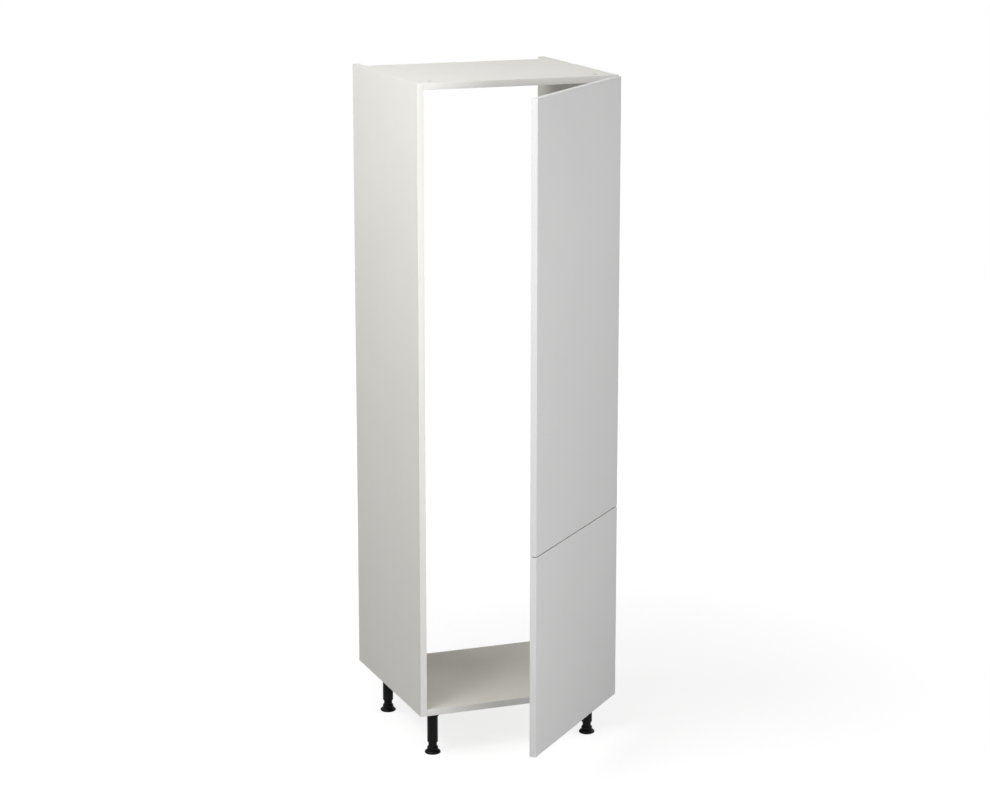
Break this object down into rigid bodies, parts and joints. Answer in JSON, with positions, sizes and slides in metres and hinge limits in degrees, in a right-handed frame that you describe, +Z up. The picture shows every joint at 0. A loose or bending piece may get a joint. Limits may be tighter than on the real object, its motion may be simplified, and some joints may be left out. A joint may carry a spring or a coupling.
{
  "type": "fridge housing unit",
  "caption": "Tall white cabinet that houses a built-in fridge, with a tall door over a short one on concealed hinges and adjustable legs.",
  "frame": {"origin": "on the floor, under the middle of the unit's outline seen from above with both doors open as in the picture", "axes": "+Z up, +X to the right as seen from the front, -Y towards the person who opens the doors"},
  "size_m": [0.601, 0.9954, 1.953],
  "materials": {
    "carcass_board": "white melamine board, satin",
    "edge_band": "white plastic edging, satin",
    "door_front": "white lacquered board, satin",
    "hinge_metal": "nickel plated steel and zinc",
    "fitting_metal": "plain zinc casting",
    "dowel": "bare beech",
    "bumper": "clear soft rubber",
    "leg_plastic": "black moulded plastic, satin"
  },
  "bodies": {
    "carcass": {"base_edge_band": "edge_band", "base_left_cam_bolt": "fitting_metal", "base_left_cam_lock": "fitting_metal", "base_left_dowel": "dowel", "base_panel": "carcass_board", "base_right_cam_bolt": "fitting_metal", "base_right_cam_lock": "fitting_metal", "base_right_dowel": "dowel", "front_left_leg_socket": "leg_plastic", "front_left_leg_tube": "leg_plastic", "front_right_leg_socket": "leg_plastic", "front_right_leg_tube": "leg_plastic", "left_side_edge_band": "edge_band", "left_side_panel": "carcass_board", "lower_hinge_arm_1": "hinge_metal", "lower_hinge_arm_2": "hinge_metal", "lower_mounting_plate_1": "hinge_metal", "lower_mounting_plate_2": "hinge_metal", "rear_left_leg_socket": "leg_plastic", "rear_left_leg_tube": "leg_plastic", "rear_right_leg_socket": "leg_plastic", "rear_right_leg_tube": "leg_plastic", "right_side_edge_band": "edge_band", "right_side_panel": "carcass_board", "top_edge_band": "edge_band", "top_left_cam_bolt": "fitting_metal", "top_left_cam_lock": "fitting_metal", "top_left_dowel": "dowel", "top_panel": "carcass_board", "top_right_cam_bolt": "fitting_metal", "top_right_cam_lock": "fitting_metal", "top_right_dowel": "dowel", "upper_hinge_arm_1": "hinge_metal", "upper_hinge_arm_2": "hinge_metal", "upper_hinge_arm_3": "hinge_metal", "upper_mounting_plate_1": "hinge_metal", "upper_mounting_plate_2": "hinge_metal", "upper_mounting_plate_3": "hinge_metal"},
    "upper_links": {"upper_hinge_link_1": "hinge_metal", "upper_hinge_link_2": "hinge_metal", "upper_hinge_link_3": "hinge_metal"},
    "upper_door": {"upper_door": "door_front", "upper_door_bottom_bumper": "bumper", "upper_door_top_bumper": "bumper", "upper_hinge_cup_1": "hinge_metal", "upper_hinge_cup_2": "hinge_metal", "upper_hinge_cup_3": "hinge_metal"},
    "lower_links": {"lower_hinge_link_1": "hinge_metal", "lower_hinge_link_2": "hinge_metal"},
    "lower_door": {"lower_door": "door_front", "lower_door_bottom_bumper": "bumper", "lower_door_top_bumper": "bumper", "lower_hinge_cup_1": "hinge_metal", "lower_hinge_cup_2": "hinge_metal"},
    "front_left_foot": {"front_left_foot": "leg_plastic"},
    "front_right_foot": {"front_right_foot": "leg_plastic"},
    "rear_left_foot": {"rear_left_foot": "leg_plastic"},
    "rear_right_foot": {"rear_right_foot": "leg_plastic"}
  },
  "joints": [
    {"name": "upper_link_turn", "type": "hinge", "parent": "carcass", "child": "upper_links", "pos_m": [0.26637, -0.06835, 0.81], "axis": [0, 0, 1], "range_deg": [-14.71, 13.51]},
    {"name": "upper_door_turn", "type": "hinge", "parent": "upper_links", "child": "upper_door", "pos_m": [0.2851, -0.07645, 0.81], "axis": [0, 0, 1], "range_deg": [-58.5, 63.7]},
    {"name": "lower_link_turn", "type": "hinge", "parent": "carcass", "child": "lower_links", "pos_m": [0.26637, -0.06835, 0.237], "axis": [0, 0, 1], "range_deg": [-14.71, 13.51]},
    {"name": "lower_door_turn", "type": "hinge", "parent": "lower_links", "child": "lower_door", "pos_m": [0.2851, -0.07645, 0.237], "axis": [0, 0, 1], "range_deg": [-58.5, 63.7]},
    {"name": "front_left_foot_height", "type": "slide", "parent": "carcass", "child": "front_left_foot", "axis": [0, 0, 1], "range_m": [-0.02, 0.01]},
    {"name": "front_right_foot_height", "type": "slide", "parent": "carcass", "child": "front_right_foot", "axis": [0, 0, 1], "range_m": [-0.02, 0.01]},
    {"name": "rear_left_foot_height", "type": "slide", "parent": "carcass", "child": "rear_left_foot", "axis": [0, 0, 1], "range_m": [-0.02, 0.01]},
    {"name": "rear_right_foot_height", "type": "slide", "parent": "carcass", "child": "rear_right_foot", "axis": [0, 0, 1], "range_m": [-0.02, 0.01]}
  ],
  "couplings": [
    {"joint": "upper_link_turn", "follows": "upper_door_turn", "ratio": -0.23077},
    {"joint": "lower_link_turn", "follows": "lower_door_turn", "ratio": -0.23077}
  ]
}
